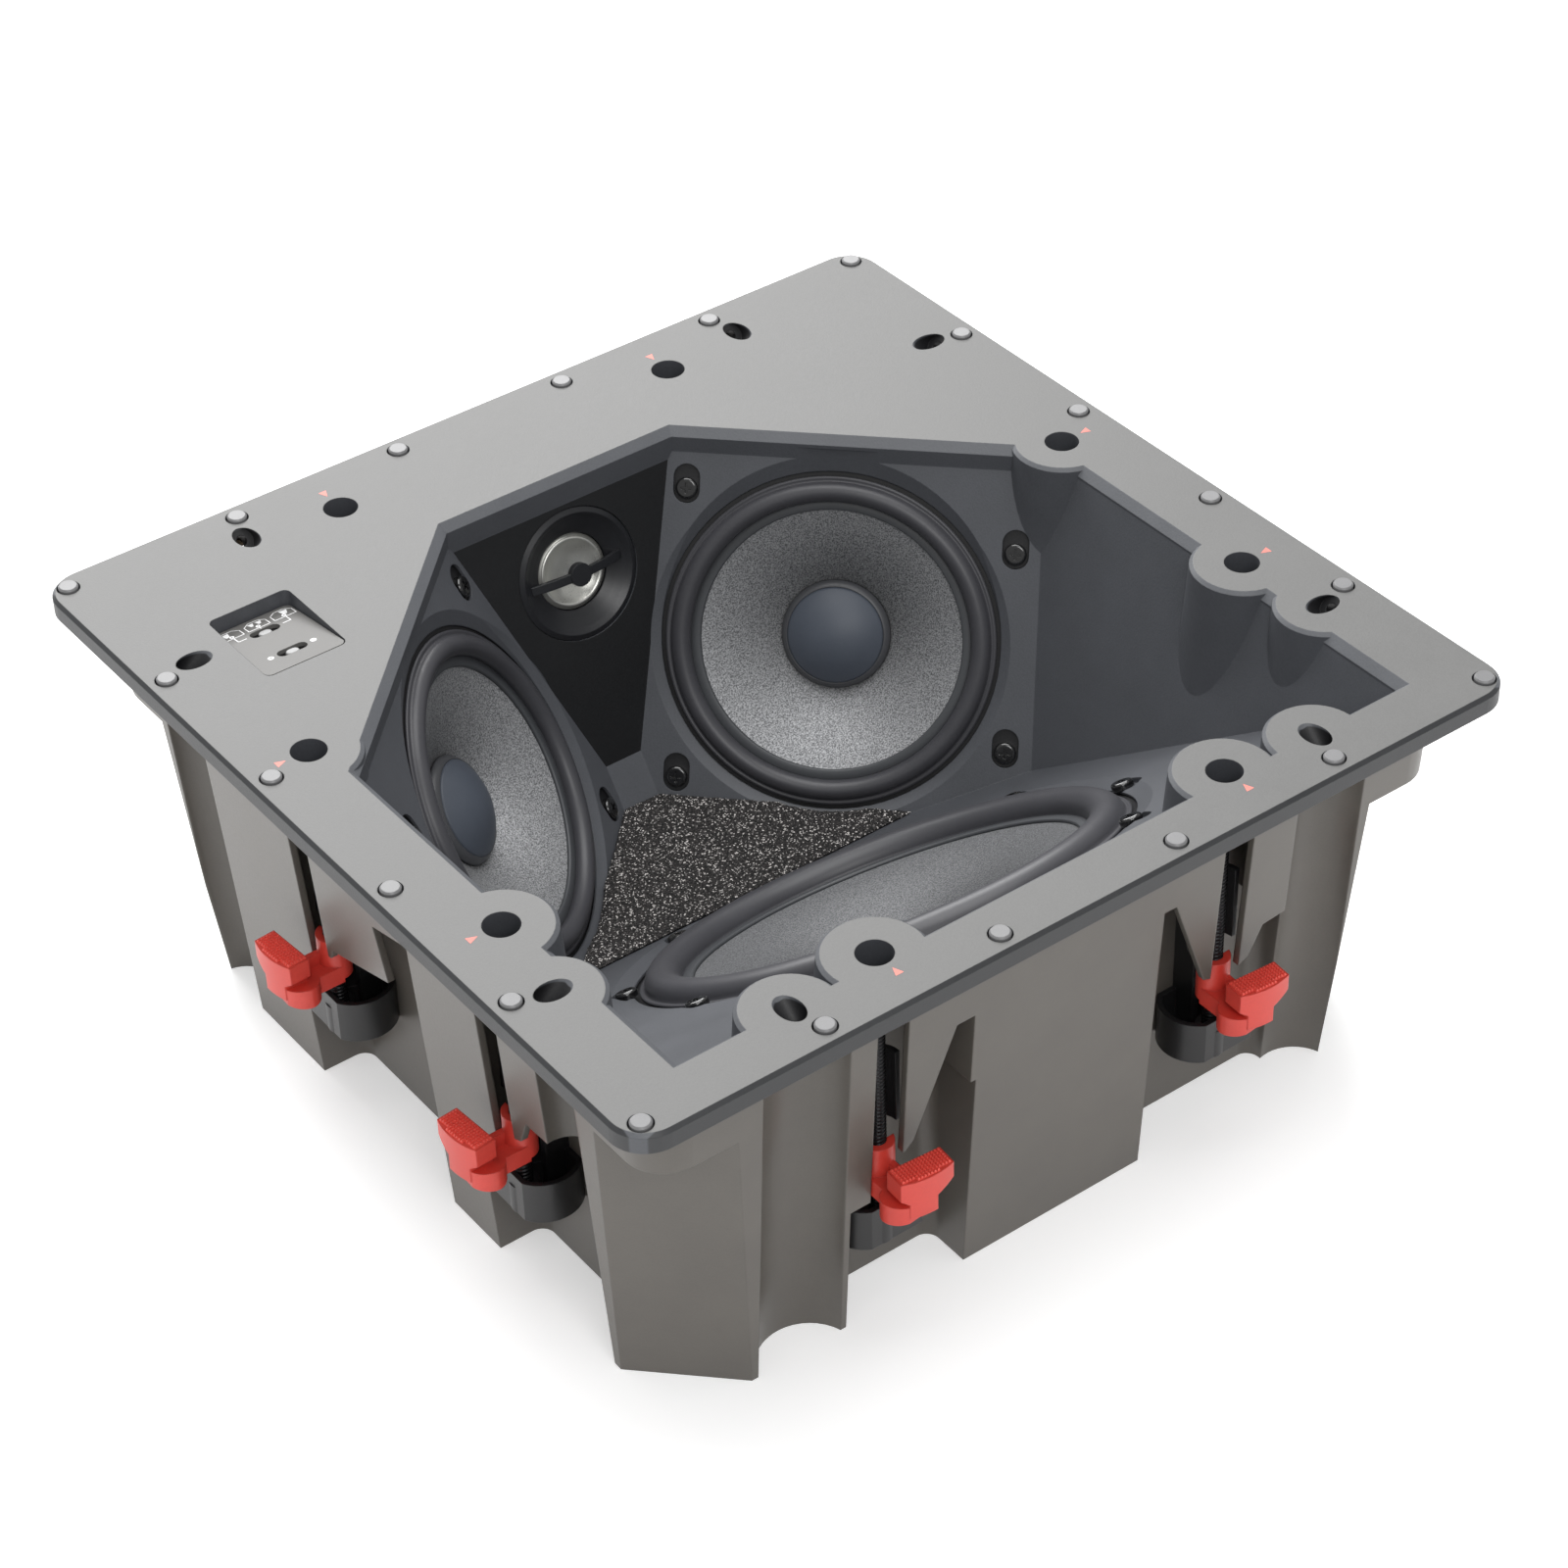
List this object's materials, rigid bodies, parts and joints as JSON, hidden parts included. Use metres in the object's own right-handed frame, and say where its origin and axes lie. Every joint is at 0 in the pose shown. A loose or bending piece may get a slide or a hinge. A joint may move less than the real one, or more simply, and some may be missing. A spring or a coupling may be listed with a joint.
{
  "type": "ceiling speaker",
  "caption": "Square flush-mount ceiling speaker: flanged baffle with angled drivers facing the room, closed back box and swing-out clamps round its sides.",
  "frame": {"origin": "centre of the bounding box in plan, at the bottom of the back box", "axes": "+Z out of the ceiling into the room, +Y towards the tweeter, X across the two side drivers"},
  "size_m": [0.345, 0.345, 0.1501],
  "materials": {
    "back_box": "satin",
    "bass_basket": "powder coat",
    "bass_cone": "speckled",
    "bass_dust_cap": "satin",
    "bass_motor": "ferrite and steel",
    "bass_spider": "impregnated cloth",
    "bass_surround": "satin",
    "clamp_dog": "satin",
    "clamp_nut": "plain",
    "clamp_screw": "black oxide",
    "clamp_towers": "satin",
    "crossover_board": "coated board",
    "driver_screws": "black oxide",
    "foam_wedge": "open foam",
    "front_baffle": "fine textured satin",
    "gasket": "speckled foam strip",
    "grille_magnets": "plated",
    "mid_basket": "powder coat",
    "mid_cone": "speckled",
    "mid_dust_cap": "satin",
    "mid_motor": "ferrite and steel",
    "mid_spider": "impregnated cloth",
    "mid_surround": "satin",
    "switch_housings": "plain",
    "switch_knob": "satin",
    "switch_plate": "satin",
    "terminal_block": "plain",
    "tweeter_dome": "satin",
    "tweeter_horn": "satin",
    "tweeter_motor": "ferrite and steel",
    "tweeter_phase_bar": "satin"
  },
  "bodies": {
    "enclosure": {"back_box": "back_box", "bass_basket": "bass_basket", "bass_motor": "bass_motor", "bass_spider": "bass_spider", "bass_surround": "bass_surround", "clamp_towers": "clamp_towers", "crossover_board": "crossover_board", "driver_screws": "driver_screws", "foam_wedge": "foam_wedge", "front_baffle": "front_baffle", "gasket": "gasket", "grille_magnets": "grille_magnets", "mid_left_basket": "mid_basket", "mid_left_motor": "mid_motor", "mid_left_spider": "mid_spider", "mid_left_surround": "mid_surround", "mid_right_basket": "mid_basket", "mid_right_motor": "mid_motor", "mid_right_spider": "mid_spider", "mid_right_surround": "mid_surround", "switch_housings": "switch_housings", "switch_plate": "switch_plate", "terminal_block": "terminal_block", "tweeter_horn": "tweeter_horn", "tweeter_motor": "tweeter_motor", "tweeter_phase_bar": "tweeter_phase_bar"},
    "screw_front_1": {"clamp_screw_front_1": "clamp_screw"},
    "nut_front_1": {"clamp_nut_front_1": "clamp_nut"},
    "dog_front_1": {"clamp_dog_front_1": "clamp_dog"},
    "screw_front_2": {"clamp_screw_front_2": "clamp_screw"},
    "nut_front_2": {"clamp_nut_front_2": "clamp_nut"},
    "dog_front_2": {"clamp_dog_front_2": "clamp_dog"},
    "screw_left_1": {"clamp_screw_left_1": "clamp_screw"},
    "nut_left_1": {"clamp_nut_left_1": "clamp_nut"},
    "dog_left_1": {"clamp_dog_left_1": "clamp_dog"},
    "screw_left_2": {"clamp_screw_left_2": "clamp_screw"},
    "nut_left_2": {"clamp_nut_left_2": "clamp_nut"},
    "dog_left_2": {"clamp_dog_left_2": "clamp_dog"},
    "screw_right_1": {"clamp_screw_right_1": "clamp_screw"},
    "nut_right_1": {"clamp_nut_right_1": "clamp_nut"},
    "dog_right_1": {"clamp_dog_right_1": "clamp_dog"},
    "screw_right_2": {"clamp_screw_right_2": "clamp_screw"},
    "nut_right_2": {"clamp_nut_right_2": "clamp_nut"},
    "dog_right_2": {"clamp_dog_right_2": "clamp_dog"},
    "screw_rear_1": {"clamp_screw_rear_1": "clamp_screw"},
    "nut_rear_1": {"clamp_nut_rear_1": "clamp_nut"},
    "dog_rear_1": {"clamp_dog_rear_1": "clamp_dog"},
    "screw_rear_2": {"clamp_screw_rear_2": "clamp_screw"},
    "nut_rear_2": {"clamp_nut_rear_2": "clamp_nut"},
    "dog_rear_2": {"clamp_dog_rear_2": "clamp_dog"},
    "mid_left_moving": {"mid_left_cone": "mid_cone", "mid_left_dust_cap": "mid_dust_cap"},
    "mid_right_moving": {"mid_right_cone": "mid_cone", "mid_right_dust_cap": "mid_dust_cap"},
    "bass_moving": {"bass_cone": "bass_cone", "bass_dust_cap": "bass_dust_cap"},
    "tweeter_moving": {"tweeter_dome": "tweeter_dome"},
    "knob_wall": {"switch_knob_wall": "switch_knob"},
    "knob_tweeter": {"switch_knob_tweeter": "switch_knob"}
  },
  "joints": [
    {"name": "screw_front_1_turn", "type": "hinge", "parent": "enclosure", "child": "screw_front_1", "pos_m": [-0.0689, -0.1486, 0.137], "axis": [0, 0, -1], "range_deg": [0, 13205]},
    {"name": "nut_front_1_lift", "type": "slide", "parent": "enclosure", "child": "nut_front_1", "axis": [0, 0, 1], "range_m": [0, 0.055]},
    {"name": "dog_front_1_swing", "type": "hinge", "parent": "nut_front_1", "child": "dog_front_1", "pos_m": [-0.0689, -0.1486, 0.064], "axis": [0, 0, -1], "range_deg": [-100, 0]},
    {"name": "screw_front_2_turn", "type": "hinge", "parent": "enclosure", "child": "screw_front_2", "pos_m": [0.0689, -0.1486, 0.137], "axis": [0, 0, -1], "range_deg": [0, 13205]},
    {"name": "nut_front_2_lift", "type": "slide", "parent": "enclosure", "child": "nut_front_2", "axis": [0, 0, 1], "range_m": [0, 0.055]},
    {"name": "dog_front_2_swing", "type": "hinge", "parent": "nut_front_2", "child": "dog_front_2", "pos_m": [0.0689, -0.1486, 0.064], "axis": [0, 0, -1], "range_deg": [-100, 0]},
    {"name": "screw_left_1_turn", "type": "hinge", "parent": "enclosure", "child": "screw_left_1", "pos_m": [-0.1485, 0.0392, 0.137], "axis": [0, 0, -1], "range_deg": [0, 13205]},
    {"name": "nut_left_1_lift", "type": "slide", "parent": "enclosure", "child": "nut_left_1", "axis": [0, 0, 1], "range_m": [0, 0.055]},
    {"name": "dog_left_1_swing", "type": "hinge", "parent": "nut_left_1", "child": "dog_left_1", "pos_m": [-0.1485, 0.0392, 0.064], "axis": [0, 0, -1], "range_deg": [-118, 0]},
    {"name": "screw_left_2_turn", "type": "hinge", "parent": "enclosure", "child": "screw_left_2", "pos_m": [-0.148, -0.0692, 0.137], "axis": [0, 0, -1], "range_deg": [0, 13205]},
    {"name": "nut_left_2_lift", "type": "slide", "parent": "enclosure", "child": "nut_left_2", "axis": [0, 0, 1], "range_m": [0, 0.055]},
    {"name": "dog_left_2_swing", "type": "hinge", "parent": "nut_left_2", "child": "dog_left_2", "pos_m": [-0.148, -0.0692, 0.064], "axis": [0, 0, -1], "range_deg": [-118, 0]},
    {"name": "screw_right_1_turn", "type": "hinge", "parent": "enclosure", "child": "screw_right_1", "pos_m": [0.1482, 0.0237, 0.137], "axis": [0, 0, -1], "range_deg": [0, 13205]},
    {"name": "nut_right_1_lift", "type": "slide", "parent": "enclosure", "child": "nut_right_1", "axis": [0, 0, 1], "range_m": [0, 0.055]},
    {"name": "dog_right_1_swing", "type": "hinge", "parent": "nut_right_1", "child": "dog_right_1", "pos_m": [0.1482, 0.0237, 0.064], "axis": [0, 0, -1], "range_deg": [-118, 0]},
    {"name": "screw_right_2_turn", "type": "hinge", "parent": "enclosure", "child": "screw_right_2", "pos_m": [0.148, -0.0692, 0.137], "axis": [0, 0, -1], "range_deg": [0, 13205]},
    {"name": "nut_right_2_lift", "type": "slide", "parent": "enclosure", "child": "nut_right_2", "axis": [0, 0, 1], "range_m": [0, 0.055]},
    {"name": "dog_right_2_swing", "type": "hinge", "parent": "nut_right_2", "child": "dog_right_2", "pos_m": [0.148, -0.0692, 0.064], "axis": [0, 0, -1], "range_deg": [-118, 0]},
    {"name": "screw_rear_1_turn", "type": "hinge", "parent": "enclosure", "child": "screw_rear_1", "pos_m": [0.0689, 0.1478, 0.137], "axis": [0, 0, -1], "range_deg": [0, 13205]},
    {"name": "nut_rear_1_lift", "type": "slide", "parent": "enclosure", "child": "nut_rear_1", "axis": [0, 0, 1], "range_m": [0, 0.055]},
    {"name": "dog_rear_1_swing", "type": "hinge", "parent": "nut_rear_1", "child": "dog_rear_1", "pos_m": [0.0689, 0.1478, 0.064], "axis": [0, 0, -1], "range_deg": [-100, 0]},
    {"name": "screw_rear_2_turn", "type": "hinge", "parent": "enclosure", "child": "screw_rear_2", "pos_m": [-0.0689, 0.1478, 0.137], "axis": [0, 0, -1], "range_deg": [0, 13205]},
    {"name": "nut_rear_2_lift", "type": "slide", "parent": "enclosure", "child": "nut_rear_2", "axis": [0, 0, 1], "range_m": [0, 0.055]},
    {"name": "dog_rear_2_swing", "type": "hinge", "parent": "nut_rear_2", "child": "dog_rear_2", "pos_m": [-0.0689, 0.1478, 0.064], "axis": [0, 0, -1], "range_deg": [-100, 0]},
    {"name": "mid_left_stroke", "type": "slide", "parent": "enclosure", "child": "mid_left_moving", "axis": [0.6328, -0.6328, 0.4462], "range_m": [-0.003, 0.003], "stiffness_N_per_m": 1500, "deforming": ["mid_left_surround", "mid_left_spider"]},
    {"name": "mid_right_stroke", "type": "slide", "parent": "enclosure", "child": "mid_right_moving", "axis": [-0.6328, -0.6328, 0.4462], "range_m": [-0.003, 0.003], "stiffness_N_per_m": 1500, "deforming": ["mid_right_surround", "mid_right_spider"]},
    {"name": "bass_stroke", "type": "slide", "parent": "enclosure", "child": "bass_moving", "axis": [0, 0.565, 0.8251], "range_m": [-0.004, 0.004], "stiffness_N_per_m": 1200, "deforming": ["bass_surround", "bass_spider"]},
    {"name": "tweeter_stroke", "type": "slide", "parent": "enclosure", "child": "tweeter_moving", "axis": [0, -0.9563, 0.2924], "range_m": [-0.0003, 0.0003], "stiffness_N_per_m": 1000},
    {"name": "switch_wall_slide", "type": "slide", "parent": "enclosure", "child": "knob_wall", "axis": [1, 0, 0], "range_m": [-0.0029, 0.0029]},
    {"name": "switch_tweeter_slide", "type": "slide", "parent": "enclosure", "child": "knob_tweeter", "axis": [1, 0, 0], "range_m": [-0.0029, 0.0029]}
  ],
  "couplings": [
    {"joint": "screw_front_1_turn", "follows": "nut_front_1_lift", "rad_per_m": 4188.8},
    {"joint": "screw_front_2_turn", "follows": "nut_front_2_lift", "rad_per_m": 4188.8},
    {"joint": "screw_left_1_turn", "follows": "nut_left_1_lift", "rad_per_m": 4188.8},
    {"joint": "screw_left_2_turn", "follows": "nut_left_2_lift", "rad_per_m": 4188.8},
    {"joint": "screw_right_1_turn", "follows": "nut_right_1_lift", "rad_per_m": 4188.8},
    {"joint": "screw_right_2_turn", "follows": "nut_right_2_lift", "rad_per_m": 4188.8},
    {"joint": "screw_rear_1_turn", "follows": "nut_rear_1_lift", "rad_per_m": 4188.8},
    {"joint": "screw_rear_2_turn", "follows": "nut_rear_2_lift", "rad_per_m": 4188.8}
  ]
}
